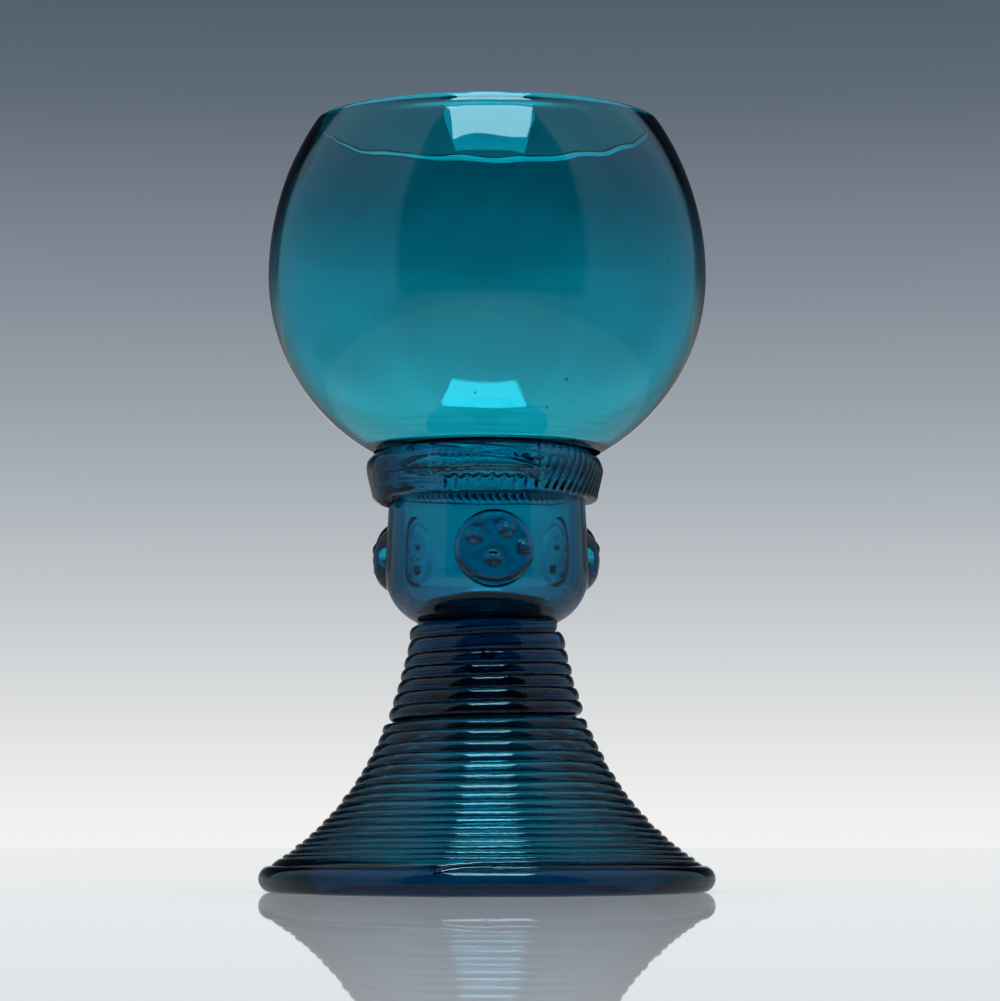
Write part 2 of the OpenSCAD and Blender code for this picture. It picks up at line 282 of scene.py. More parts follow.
def bowlWall(inset):
    # two arcs from the flare up to the rim; inset 1 lies one wall further in, thinner at the neck, thicker at the rim
    b = bowl
    low = np.linspace(b["innerAngle"] if inset else b["flareAngle"], 0, b["lowRows"])
    high = np.linspace(0, b["mouthAngle"], b["highRows"])[1:]
    lowWall = b["wall"] + (b["neckWall"] - b["wall"]) * step(-low, *b["neckEase"])
    highWall = b["wall"] + (b["rimWall"] - b["wall"]) * step(high, b["rimEase"], b["mouthAngle"])
    return np.concatenate([arcAt(b["lowerX"], b["belly"], b["lowerCurve"] - inset * lowWall, low),
                           arcAt(b["upperX"], b["belly"], b["upperCurve"] - inset * highWall, high)])


def makeBowl():
    # section up the outer face, over the bead and down the inner face to the throat, swung round the axis
    b = bowl
    outer, inner = bowlWall(0), bowlWall(1)
    mouth = np.radians(b["mouthAngle"])
    beadReach = b["upperCurve"] - b["rimWall"] / 2
    beadX, beadZ = b["upperX"] + beadReach * np.cos(mouth), b["belly"] + beadReach * np.sin(mouth)
    bead = arc(beadX, beadZ, b["rimWall"] / 2, b["mouthAngle"], b["mouthAngle"] + 180, 30)[1:-1]
    neck = line((b["neckRadius"], b["bottom"]), (b["neckRadius"], b["flare"]), 7)[:-1]
    throatTop, throatEnd = (b["throatRadius"], b["throatTop"]), (b["throatRadius"], b["bottom"])
    leave = inner[0] + b["funnelReach"] * np.array(b["funnelWay"])
    funnel = bend(inner[0], leave, (b["throatRadius"], b["throatBend"]), throatTop, 22)[1:]
    throat = line(throatTop, throatEnd, 6)[1:]
    under = line(throatEnd, (b["neckRadius"], b["bottom"]), 6)[1:-1]
    profile = np.concatenate([neck, outer, bead, inner[::-1], funnel, throat, under])
    outerEnd = len(neck) + len(outer)
    side = np.zeros(len(profile))
    side[:outerEnd] = 1
    side[outerEnd + len(bead):] = -1
    # melted to the collar outside and to the stem below
    fused = np.where(side > 0, jointEdge + (b["collarTop"] - profile[:, 1]), 0.0)
    fused[-len(under):] = 1
    fused[-len(under) - 1] = jointEdge
    isOuter, isInner = side[:, None] > 0, side[:, None] < 0
    free = step(profile[:, 1], *b["wavesFrom"])[:, None]

    def shape(radius, height, angle):
        # small out-of-round, uneven inner wall, wavering rim, ripple and groove under it, tool rings above the neck
        size, count, rate, shift = b["topRipple"]
        ripple = size * np.sin(count * angle + rate * height + shift) * step(height, *b["rippleFrom"])
        depth, level, width, spread = b["rimGroove"]
        groove = depth * np.exp(-((height - level) / width) ** 2 - (wrapped(angle) / spread) ** 4)
        depth, longStep, shortStep, level, width = b["toolRings"]
        rings = np.sin(fullTurn * height / longStep + 0.8 * np.sin(angle * 2))
        rings = rings + np.sin(fullTurn * height / shortStep + np.sin(angle * 3))
        marks = depth * rings * np.exp(-((height - level) / width) ** 2)
        out = waves(angle, height, b["outerWaves"]) * free + (ripple - groove) * isOuter
        inside = waves(angle, height, b["innerWaves"]) * free
        rise = waves(angle, height, b["rimWaves"]) + b["tilt"] * (1 - np.cos(angle)) / 2
        return radius + out + np.where(isInner, inside, marks * isOuter), height + rise * step(height, *b["rimFrom"])

    points, faces = swungBody(profile, b["columns"], shape)
    values = np.repeat(fused, b["columns"])
    # seeds: small drawn-out bubbles in the wall, their skins facing inwards
    polar = np.linspace(0, np.pi, b["seedRows"] + 2)[1:-1]
    polar, ring = np.meshgrid(polar, ringTurns(b["seedColumns"]), indexing="ij")
    ball = np.stack([np.sin(polar) * np.cos(ring), np.sin(polar) * np.sin(ring), np.cos(polar)], -1).reshape(-1, 3)
    ball = np.concatenate([ball, [[0, 0, 1], [0, 0, -1]]])
    skin = [group[:, ::-1] for group in cappedFaces(b["seedRows"], b["seedColumns"])]
    for angle, height, size in b["seeds"]:
        half = "lower" if height < b["belly"] else "upper"
        reach = b[half + "Curve"] - b["wall"] / 2
        middle = b[half + "X"] + np.sqrt(reach ** 2 - (height - b["belly"]) ** 2)
        seed = ball * size * np.array([1, 1, b["seedStretch"]]) + around(middle, height, np.radians(angle))
        faces = faces + [group + len(points) for group in skin]
        points = np.concatenate([points, seed])
        values = np.concatenate([values, np.zeros(len(seed))])
    makePiece("bowl_glass_body", "bowl", glass["bowlGlass"], points, faces, values)


makeBowl()

# stem: hollow barrel, open to the bowl, closed below by the plug
stem = {
    "top": 73.52, "neckHeight": 67.9, "neckRadius": 17.4, "widest": 18.0, "bottom": 47.38, "collarBottom": 68.55,
    "heelX": 8.6, "heelZ": 55.759, "heelCurve": 9.4, "heelRadius": 12.9, "holeRadius": 10.4, "wall": 3.2,
    # inner shoulder behind the collar: throat, its end, start and radius of the barrel's wall
    "throat": 16.1, "throatEnd": 72.6, "wallStart": 68.4, "innerTop": 14.75,
    # at the back the shoulder lies higher: lower limit, rise at the wall and at the throat, turn where it comes in
    "backLow": 60, "backRise": (2.6, 0.75), "backFrom": (1.0, 2.0),
    # short melted neck round the top of the foot
    "sleeve": 46.8, "sleeveRadius": 12.3, "sleeveBend": 0.3, "gripRadii": (11.56, 11.63),
    "heelReach": 0.35, "heelWay": (0.89, 0.457),
    "columns": 300, "waveShare": 0.3, "wavesFrom": (48, 53), "wavesTo": (65, 68),
    "outerWaves": [(0.05, 2, 0.01, 0.3), (0.02, 5, 0.03, 1.2)],
    "innerWaves": [(0.08, 2, 0.01, 1.7), (0.05, 3, 0.04, 0.2), (0.03, 7, 0.06, 2.0)],
}
# prunts: pressed discs, each given by its turn, its size, how far it stands out and where its pearls lie
sidePrunt = {"radius": 6.9, "proud": 4.2, "dish": 0.3, "edge": (2.6, 0.8), "rise": 0.4, "flatter": 0.8}
prunts = {
    "height": 59.0, "wrap": 18.0, "rings": 80, "columns": 260, "backShares": (0.996, 0.8, 0.6, 0.4, 0.2, 0.05),
    "sink": 0.04, "least": 0.02, "dishEdge": (0.55, 0.86), "flatFrom": (-3.0, 4.0), "sway": 0.05,
    # pearls: size and roundness, then depth, place and width of the groove round each
    "pearlSize": 1.35, "pearlPower": 1.5, "pearlGroove": (0.12, 1.25, 0.3),
    "front": {"turn": 3.9, "radius": 6.8, "proud": 3.2, "dish": 0.5, "edge": (6.0, 0.5), "rise": 0.74, "flatter": 0.0,
              "pearls": [(-3.1, 1.9), (1.8, 3.1), (4.5, 0.1), (-0.35, -1.9)]},
    "right": {**sidePrunt, "turn": 119.0, "pearls": [(-2.4, 2.0), (1.8, 2.3), (3.1, -1.3), (-0.9, -2.4)]},
    "left": {**sidePrunt, "turn": -117.0, "pearls": [(-2.2, 2.2), (2.2, 1.7), (1.6, -2.4), (-2.4, -1.6)]},
}


def stemOuter(height):
    # outer radius of the stem: rounded heel, then a cone that narrows slightly to the neck
    s = stem
    heel = s["heelX"] + np.sqrt(np.maximum(s["heelCurve"] ** 2 - np.minimum(height - s["heelZ"], 0) ** 2, 0))
    up = np.clip((height - s["heelZ"]) / (s["neckHeight"] - s["heelZ"]), 0, 1)
    return np.where(height < s["heelZ"], heel, s["widest"] + (s["neckRadius"] - s["widest"]) * up)


def pruntReach(height, angle, name):
    # how far inside a prunt's outline a point of the stem lies, in mm
    across = wrapped(angle - np.radians(prunts[name]["turn"])) * prunts["wrap"]
    return prunts[name]["radius"] - np.hypot(across, height - prunts["height"])


def makeStem():
    # section up the outer face, over the top and down the inner face to the foot, swung round the axis
    s = stem
    heelStart = -np.degrees(np.arccos((s["heelRadius"] - s["heelX"]) / s["heelCurve"]))
    heel = arc(s["heelX"], s["heelZ"], s["heelCurve"], heelStart, 0, 44)
    heel[0, 1] = s["bottom"]
    barrel = line((s["widest"], s["heelZ"]), (s["neckRadius"], s["neckHeight"]), 40)[1:]
    neck = line((s["neckRadius"], s["neckHeight"]), (s["neckRadius"], s["top"]), 9)[1:]
    lid = line((s["neckRadius"], s["top"]), (s["throat"], s["top"]), 6)[1:]
    throatEnd, wallStart = (s["throat"], s["throatEnd"]), (s["innerTop"], s["wallStart"])
    middle = (s["throatEnd"] + s["wallStart"]) / 2
    throat = line((s["throat"], s["top"]), throatEnd, 8)[1:]
    shoulder = bend(throatEnd, (s["throat"], middle), (s["innerTop"], middle), wallStart, 16)[1:]
    innerBarrel = line(wallStart, (s["widest"] - s["wall"], s["heelZ"]), 34)[1:]
    innerCurve = s["heelCurve"] - s["wall"]
    endAngle = -np.degrees(np.arccos((s["holeRadius"] - s["heelX"]) / innerCurve))
    innerHeel = arc(s["heelX"], s["heelZ"], innerCurve, 0, endAngle, 30)[1:]
    hole = line(innerHeel[-1], (s["holeRadius"], s["bottom"]), 5)[1:]
    gripTop, gripEnd = s["gripRadii"]
    base = line((s["holeRadius"], s["bottom"]), (gripTop, s["bottom"]), 5)[1:]
    grip = line((gripTop, s["bottom"]), (gripEnd, s["sleeve"]), 4)[1:]
    # the heel runs on into a short melted neck round the top of the foot
    leave = (s["sleeveRadius"], s["sleeve"] + s["sleeveBend"])
    arrive = heel[0] - s["heelReach"] * np.array(s["heelWay"])
    sleeve = bend((s["sleeveRadius"], s["sleeve"]), leave, arrive, heel[0], 9)[:-1]
    parts = [heel, barrel, neck, lid, throat, shoulder, innerBarrel, innerHeel, hole, base, grip, sleeve]
    profile = np.concatenate(parts)
    stops = np.cumsum([len(part) for part in parts])
    neckStop, lidStop, innerStop, gripStop = stops[2], stops[3], stops[7], stops[10]
    side = np.zeros(len(profile))
    side[:neckStop] = 1
    side[lidStop:innerStop] = -1
    # melted to the collar outside, to the bowl on top, and to the plug and the foot below
    fused = np.where(side > 0, jointEdge + (profile[:, 1] - s["collarBottom"]), 0.0)
    fused[neckStop:lidStop] = 1
    fused[innerStop:gripStop] = 1
    fused[[lidStop - 1, innerStop - 1, gripStop - 1]] = jointEdge
    isOuter, isInner = side[:, None] > 0, side[:, None] < 0
    free = step(profile[:, 1:], *s["wavesFrom"]) * (1 - step(profile[:, 1:], *s["wavesTo"]))

    def shape(radius, height, angle):
        # barrel slightly out of round, inner wall less even than the outer, its shoulder higher at the back
        grow = waves(angle, height, s["outerWaves"]) * isOuter + waves(angle, height, s["innerWaves"]) * isInner
        back = step(np.abs(wrapped(angle)), *s["backFrom"])
        levels = (s["backLow"], s["wallStart"], s["throatEnd"], s["top"])
        rise = np.interp(height, levels, (0, *s["backRise"], 0)) * back * isInner
        return radius + s["waveShare"] * grow * free, height + rise

    points, faces = swungBody(profile, s["columns"], shape)
    values = fused[:, None]
    for name in ("front", "right", "left"):
        reach = pruntReach(profile[:, 1:], ringTurns(s["columns"])[None, :], name)
        values = np.where(isOuter, np.maximum(values, jointEdge + 0.5 * reach), values)
    makePiece("stem_barrel", "stem", glass["stemGlass"], points, faces, values)


def makePrunt(name, material):
    # disc on a polar grid: rounded edge, dished face and pearls, wrapped round the stem
    d, p = prunts, prunts[name]
    ring = ringTurns(d["columns"])

    def polar(shares):
        # places across and up from the disc's middle: radius times share times cosine and sine
        rho, psi = np.meshgrid(shares, ring, indexing="ij")
        return rho, psi, p["radius"] * rho * np.cos(psi), p["radius"] * rho * np.sin(psi)

    def onStem(x, y, lift):
        # point of the stem's face, x round it and y up from the disc's middle, raised by a lift
        height = d["height"] + y
        return around(stemOuter(height) + lift, height, np.radians(p["turn"]) + x / d["wrap"])

    shares = np.sin(np.linspace(0, 0.5 * np.pi, d["rings"]))[1:]
    rho, psi, x, y = polar(shares)
    edge = (1 - rho ** p["edge"][0]) ** p["edge"][1]
    edge = edge * (1 - p["flatter"] * step(x * np.sign(p["turn"]), *d["flatFrom"]))
    lift = np.maximum(p["proud"] * edge - p["dish"] * (1 - step(rho, *d["dishEdge"])), d["least"])
    depth, grooveAt, width = d["pearlGroove"]
    for pearlX, pearlY in p["pearls"]:
        away = np.hypot(x - pearlX, y - pearlY) / d["pearlSize"]
        pearl = p["rise"] * np.clip(1 - away ** 2, 0, 1) ** d["pearlPower"]
        lift = lift + pearl - depth * np.exp(-((away - grooveAt) / width) ** 2) * edge
    lift = lift + d["sway"] * np.sin(3 * psi + 1.0) * rho * (1 - rho)
    face = onStem(x, y, lift)
    backX, backY = polar(d["backShares"])[2:]
    back = onStem(backX, backY, -d["sink"])
    values = np.concatenate([np.zeros(face.shape[:2]), np.ones(back.shape[:2])])
    values[len(shares) - 1] = jointEdge
    rings, tips = np.concatenate([face, back]), [face[0].mean(0), onStem(0, 0, -d["sink"])]
    makeCapped("prunt_" + name + "_disc", "prunt_" + name, material, rings, tips, values, [0, 1])


makeStem()
makePrunt("front", glass["stemGlass"])
makePrunt("right", glass["pruntGlass"])
makePrunt("left", glass["pruntGlass"])

# plug: lens that closes the stem and carries the foot
plug = {"radius": 10.42, "bottom": 47.37, "edge": 50.2, "middle": 52.0, "domeRows": 26, "columns": 180}


def makePlug():
    # domed top from the middle to the edge, then the side and the flat underside
    g = plug
    rise = g["middle"] - g["edge"]
    curve = (g["radius"] ** 2 + rise ** 2) / (2 * rise)
    radius = np.linspace(0, g["radius"], g["domeRows"])[1:]
    dome = np.stack([radius, g["middle"] - curve + np.sqrt(curve ** 2 - radius ** 2)], -1)
    side = line((g["radius"], g["edge"]), (g["radius"], g["bottom"]), 6)[1:]
    under = line((g["radius"], g["bottom"]), (0, g["bottom"]), 10)[1:-1]
    profile = np.concatenate([dome, side, under])
    fused = np.concatenate([np.zeros(len(dome) - 1), [jointEdge], np.ones(len(side) + len(under))])
    rings = turned(profile, ringTurns(g["columns"]))
    tips = [[0, 0, g["middle"]], [0, 0, g["bottom"]]]
    values = np.repeat(fused[:, None], g["columns"], 1)
    makeCapped("joining_plug_lens", "joining_plug", glass["stemGlass"], rings, tips, values, [0, 1])


makePlug()

# collar: one flat ribbon round the neck, lapped at the front and rolled with a toothed wheel
collar = {
    "bottom": 68.5, "inner": 17.37, "thickLow": 2.3, "thickHigh": 3.8, "thickFrom": (-0.15, 0.8), "least": 0.4,
    "lopsided": 0.35, "sink": 0.03, "faceHeight": 8.6, "columns": 950, "lowRows": 16, "faceRows": 77,
    # share of the height rounded below, less at the back, and how far the top draws in: front, sides, right
    "lowRound": 0.09, "lowRoundLess": 0.65, "topRound": 1.0, "topRoundSides": 0.4, "topRoundRight": 0.7,
    "topFrom": 0.55, "topPower": 1.6,
    "ribs": 73, "ribDepth": 0.36, "lean": 10.0, "ribFrom": 27.0, "ribTo": 270.0, "ribFade": 60.0, "ribDrift": 0.35,
    "seamFrom": -28.5, "seamTo": 26.5, "seamTop": 0.94, "seamFall": 0.45, "seamDepth": 0.75, "seamWidth": 0.13,
    # upper seam: start and span in degrees, share of the height and fall, depth, width
    "overlap": 0.2, "upperSeam": (-18.0, 56.0, 0.97, 0.28, 0.4, 0.12),
    # ledge: share of the height, depth, width
    "pads": 9, "padDepth": 0.7, "padTop": 0.335, "padSink": 0.2, "ledge": (0.385, 0.16, 0.16),
    "ticks": 16, "tickDepth": 0.1, "tickAt": 0.73, "tickWidth": 0.06,
    "dripTurn": -70.0, "dripWidth": 8.0, "dripDrop": 1.5, "sway": 0.15,
    "dents": [(0.05, 5, 0.05, 0.3), (0.04, 9, 0.08, 1.7), (0.03, 17, 0.03, 0.9)],
}


def underBowl(radius):
    # height of the bowl's outer face at a radius near the neck
    away = np.clip(radius - bowl["lowerX"], bowl["neckRadius"] - bowl["lowerX"], None)
    return bowl["belly"] - np.sqrt(bowl["lowerCurve"] ** 2 - away ** 2)


def collarRelief(h, angle):
    # how far the face moves at a share of its height and an angle in degrees: ribs, pads, seams, dents added up
    c = collar
    # lapped end: one long seam that falls to the right, and a fainter one above it
    lap = (angle - c["seamFrom"]) / (c["seamTo"] - c["seamFrom"])
    inLap = step(lap, -0.01, 0.03) * (1 - step(lap, 0.985, 1.0))
    away = (h - c["seamTop"] + c["seamFall"] * np.clip(lap, 0, 1) ** 1.2) * c["faceHeight"]
    seam = np.exp(-(away / c["seamWidth"]) ** 2) * inLap
    over = c["overlap"] * np.tanh(-away / 0.3) * inLap * step(h, 0.3, 0.5)
    start, span, top, fall, upperDepth, width = c["upperSeam"]
    upperAway = (h - top + fall * np.clip((angle - start) / span, 0, 1) ** 1.6) * c["faceHeight"]
    upperSeam = np.exp(-(upperAway / width) ** 2) * step(angle, -20, -8) * (1 - step(angle, 28, 38))
    # toothed ribs, scooped between thin crests, fading towards the back
    ahead = np.mod(angle - c["ribFrom"], 360)
    inRibs = step(ahead, 0, 3) * (1 - step(ahead, c["ribTo"] - c["ribFade"], c["ribTo"]))
    inRibs = inRibs * step(h, 0.02, 0.12) * (1 - 0.75 * step(h, 0.4, 0.8))
    ribPhase = (angle - c["lean"] * (h - 0.3) + c["ribDrift"] * np.sin(angle * 0.21)) * c["ribs"] / 360
    ribs = -c["ribDepth"] * np.abs(np.sin(np.pi * ribPhase)) ** 0.7 * inRibs
    # squarish pads along the foot of the lapped end, under a wavering ledge
    padPhase = lap * c["pads"] - 0.5 * (h - 0.2)
    ridge = np.abs(np.cos(np.pi * padPhase)) ** 10
    padTop = c["padTop"] + 0.03 * np.cos(fullTurn * padPhase)
    inPad = step(lap, 0.1, 0.16) * (1 - step(lap, 0.97, 1.01)) * step(h, 0.05, 0.1)
    inPad = inPad * (1 - step(h, padTop - 0.03, padTop + 0.01))
    pads = -inPad * (c["padSink"] + c["padDepth"] * (1 - ridge)) * (0.15 + 0.85 * np.clip((h - 0.06) / 0.27, 0, 1))
    level, depth, width = c["ledge"]
    ledgeAway = (h - level - 0.012 * np.cos(fullTurn * padPhase)) * c["faceHeight"]
    ledge = -depth * np.exp(-(ledgeAway / width) ** 2) * step(lap, 0.0, 0.12) * (1 - step(lap, 0.8, 0.92))
    tickRow = np.exp(-((h - c["tickAt"]) / c["tickWidth"]) ** 2) * step(lap, 0.1, 0.16) * (1 - step(lap, 0.5, 0.56))
    ticks = -c["tickDepth"] * np.abs(np.sin(np.pi * (lap * c["ticks"] + h * 2))) ** 4 * tickRow
    dents = waves(np.radians(angle), h * c["faceHeight"], c["dents"]) * step(1 - h, 0.0, 0.15)
    relief = ribs + pads + ledge + ticks + over + dents - c["seamDepth"] * seam - upperDepth * upperSeam
    return relief * step(1 - h, 0.0, 0.02)


def makeCollar():
    # band between the neck and the bowl's underside: curled lower edge, face with its relief, then seat and back
    c = collar
    degrees = np.linspace(-180, 180, c["columns"], endpoint=False)
    turn = np.radians(degrees)[None, :]
    quarter = np.linspace(0, 1, c["lowRows"]) * np.pi / 2
    curl = np.concatenate([np.sin(quarter) ** 0.8, np.ones(c["faceRows"])])
    curl, angle = np.meshgrid(curl, degrees, indexing="ij")
    lowShare = np.concatenate([1 - np.cos(quarter), np.zeros(c["faceRows"])])[:, None]
    faceShare = np.concatenate([np.zeros(c["lowRows"]), np.linspace(0, 1, c["faceRows"] + 1)[1:]])[:, None]
    lowRound = c["lowRound"] * (1 - c["lowRoundLess"] * step(np.abs(angle), 70, 110))
    h = np.where(faceShare > 0, lowRound + (1 - lowRound) * faceShare, lowRound * lowShare)
    out = c["thickLow"] + (c["thickHigh"] - c["thickLow"]) * step(h, *c["thickFrom"])
    sides, right = step(np.abs(angle), 30, 80), step(angle, 20, 80)
    topRound = c["topRound"] + c["topRoundSides"] * sides + c["topRoundRight"] * right
    out = out - topRound * np.clip((h - c["topFrom"]) / (1 - c["topFrom"]), 0, 1) ** c["topPower"]
    out = out - c["lopsided"] * np.sin(np.radians(angle)) * step(1 - h, 0, 0.3)
    radius = c["inner"] + curl * np.maximum(out + collarRelief(h, angle), c["least"])
    # the lower edge sways, and one drip hangs from it
    drip = c["dripDrop"] * np.exp(-((angle - c["dripTurn"]) / c["dripWidth"]) ** 2) * (1 - h) ** 5
    sway = c["sway"] * np.sin(np.radians(angle) * 2 + 0.7) * (1 - h) ** 2
    top = underBowl(radius) + c["sink"]
    height = c["bottom"] + (top - c["bottom"]) * h + (sway - drip) * np.minimum(curl * 3, 1)
    face = around(radius, height, turn)
    seatRadius = c["inner"] + (radius[-1:] - c["inner"]) * np.linspace(1, 0, 7)[1:-1, None]
    seat = around(seatRadius, underBowl(seatRadius) + c["sink"], turn)
    backHeights = np.linspace(bowl["flare"] + c["sink"], c["bottom"], 7)[:-1, None]
    back = around(c["inner"], backHeights, turn)
    points = np.concatenate([face, seat, back]).reshape(-1, 3)
    values = np.concatenate([np.zeros(face.shape[:2]), np.ones(seat.shape[:2]), np.ones(back.shape[:2])])
    values[0] = values[len(face) - 1] = jointEdge
    faces = outward(points, [gridFaces(*values.shape, True, True)])
    makePiece("milled_collar_ribbon", "milled_collar", glass["collarGlass"], points, faces, values)


makeCollar()

# foot: hollow trumpet core, its section two hollow arcs that meet at one slope
foot = {
    "top": 47.42, "topRadius": 11.6, "lip": 3.47, "slopeTop": 7.5, "slopeMid": 25.0, "slopeEdge": 58.0,
    "curveA": 76.788, "curveB": 50.469, "midA": (87.73, 57.42), "midB": (63.88, 46.30),
    "rows": 190, "columns": 300, "hollow": [(34.0, 3.47), (27.0, 6.5), (11.0, 28.0), (0.0, 41.0)],
    "hollowRows": 90,
    # the wall is thinner by the bare gap and thicker low down: change of the hollow's radius, height, width
    "hollowChanges": [(0.75, 28, 6), (-0.45, 12, 4.5)],
    # melted joints: with the plug above, with the ring at the edge and under the lip
    "topJoint": 0.6, "edgeJoint": 1.1, "lipJoint": 34.6,
}
slantA = foot["curveA"] * np.radians(foot["slopeMid"] - foot["slopeTop"])
slantB = foot["curveB"] * np.radians(foot["slopeEdge"] - foot["slopeMid"])
slant = slantA + slantB
# threads: turns, place and spacing down the slant, crest and groove, and how the two ends taper and lead off
upperThread = {
    "turns": 6.6, "turn": 84.0, "first": 0.757, "pitch": 2.2, "ease": 0.0, "spread": 0.1, "middle": 3.7,
    "crest": 1.6, "groove": 1.0, "startTaper": 0.06, "endTaper": 0.05,
    "leadIn": (-0.9, 0.08), "leadOut": (0.0, 0.05), "reach": 0.0, "endRise": 0.0,
}
lowerThread = {
    "turns": 18.3, "turn": 88.0, "first": 18.92, "pitch": 2.28, "ease": -0.0517, "spread": 0.0, "middle": 0.0,
    "crest": 1.5, "groove": 1.02, "startTaper": 0.025, "endTaper": 0.03,
    "leadIn": (0.0, 0.05), "leadOut": (2.3, 0.06), "reach": 52.7, "endRise": 0.3,
}
threadGrid = {"perTurn": 110, "across": 19, "sink": 0.04, "apart": 0.012, "least": 0.02, "tip": 0.12}
# rim: thick ring under the edge of the foot
rim = {
    "outerRound": 2.3, "outerX": 37.9, "innerRound": 1.75, "innerX": 34.55, "shoulder": 112,
    "seat": 3.5, "seatRadius": 36.9, "inward": 0.15, "wavesFrom": (37.9, 40.2),
    "waves": [(0.10, 2, 0.0, 0.4), (0.07, 5, 0.0, 1.3), (0.04, 11, 0.0, 0.5)],
    "joinRows": 6, "columns": 540,
}


def coreAt(down, out):
    # point a distance down the core's slant and out of it: centre of its arc less the arc's reach at that slope
    f = foot
    upper = down < slantA
    slopeA = np.radians(f["slopeTop"]) + down / f["curveA"]
    slopeB = np.radians(f["slopeMid"]) + (down - slantA) / f["curveB"]
    slope = np.where(upper, slopeA, slopeB)
    reach = np.where(upper, f["curveA"], f["curveB"]) - out
    midX, midZ = (np.where(upper, a, b) for a, b in zip(f["midA"], f["midB"]))
    return midX - reach * np.cos(slope), midZ - reach * np.sin(slope)


def threadDown(t, w):
    # place of a thread down the slant after t turns: even spacing, an even change and a wider spread at both ends
    spread = w["spread"] / 3 * ((t - w["middle"]) ** 3 + w["middle"] ** 3)
    steady = w["first"] + w["pitch"] * t + w["ease"] * t ** 2 / 2 + spread
    leadIn = w["leadIn"][0] * (1 - step(t, 0, w["leadIn"][1]))
    leadOut = w["leadOut"][0] * step(t, w["turns"] - w["leadOut"][1], w["turns"])
    sway = 0.05 * np.sin(fullTurn * 0.37 * t + w["turn"])
    return steady + (leadIn + leadOut) + sway + 0.03 * np.sin(fullTurn * 1.19 * t)


def threadSides(t, w):
    # half widths towards the turn above and the turn below, each half of the step between the two
    here = threadDown(t, w)
    above = (here - threadDown(np.maximum(t, 1) - 1, w)) / 2
    above = np.where(t < 1, (threadDown(t + 1, w) - here) / 2, above)
    below = (threadDown(np.minimum(t, w["turns"] - 1) + 1, w) - here) / 2
    last = np.maximum((here - threadDown(t - 1, w)) / 2, w["reach"] - here)
    return above, np.where(t > w["turns"] - 1, last, below)


def threadShape(t, x, w):
    # half width, edge and crest of a thread's rounded top: edges at the grooves, a crest that wavers, tapered ends
    g = threadGrid
    size = np.minimum(step(t, -0.002, w["startTaper"]), step(w["turns"] - t, -0.002, w["endTaper"]))
    size = g["tip"] + (1 - g["tip"]) * size ** 0.6
    above, below = threadSides(t, w)
    crest = w["crest"] * size * (1 + 0.05 * np.sin(fullTurn * 0.43 * t) + 0.03 * np.sin(fullTurn * 2.7 * t))
    riseFrom, riseTo = w["turns"] - w["leadOut"][1], w["turns"] - 0.5 * w["leadOut"][1]
    crest = crest * (1 + w["endRise"] * step(t, riseFrom, riseTo))
    grooveAbove = g["least"] + w["groove"] * step(t, 0.97, 1.05) * size
    grooveBelow = g["least"] + w["groove"] * np.maximum(step(w["turns"] - t, 0.97, 1.05), w["reach"] > 0) * size
    half = (np.where(x < 0, above, below) - g["apart"]) * size
    return half, np.where(x < 0, grooveAbove, grooveBelow), crest


def turnsNear(down, angle, w, first):
    # for each turn of a thread: turns gone by at an angle in degrees, the same kept to its ends, and the way from it
    for k in range(first, int(w["turns"]) + 2):
        t = (w["turn"] - angle) / 360 + k
        inside = np.clip(t, 0, w["turns"])
        yield t, inside, down - threadDown(inside, w)


def threadCover(down, angle, w):
    # how far inside a thread's footprint a point of the core lies, in mm, over all turns
    best = -9.0
    for t, inside, gone in turnsNear(down, angle, w, -1):
        above, below = threadSides(inside, w)
        best = np.maximum(best, np.minimum(gone + above, below - gone) - 30 * np.abs(t - inside))
    return best


def threadDepth(radius, height, angle, w):
    # how far under the rounded top of a thread's end a point lies, in mm
    x, z = foot["midB"][0] - radius, foot["midB"][1] - height
    out = foot["curveB"] - np.hypot(x, z)
    down = slantA + (np.arctan2(z, x) - np.radians(foot["slopeMid"])) * foot["curveB"]
    best = -9.0
    for t, inside, gone in turnsNear(down, np.degrees(angle), w, int(w["turns"]) - 2):
        half, edge, crest = threadShape(inside, gone, w)
        top = edge + (crest - edge) * (1 - np.clip(gone / half, -1, 1) ** 2) ** 0.45
        pastEnd = np.maximum(w["turns"] - 2 * w["leadOut"][1] - t, 0) + np.maximum(t - w["turns"], 0)
        best = np.maximum(best, np.minimum(top - out, half - np.abs(gone)) - 90 * pastEnd)
    return best


def rimDepth(radius, height):
    # how far inside the ring's rounded outside a point lies, in mm
    past = np.hypot(np.maximum(radius - rim["outerX"], 0), np.maximum(height - rim["outerRound"], 0))
    return rim["outerRound"] - past


def joined(values, sunk):
    # where one piece is sunk in another, the two are one glass
    return np.where(sunk > 0, np.maximum(values, jointEdge + 2 * sunk), values)


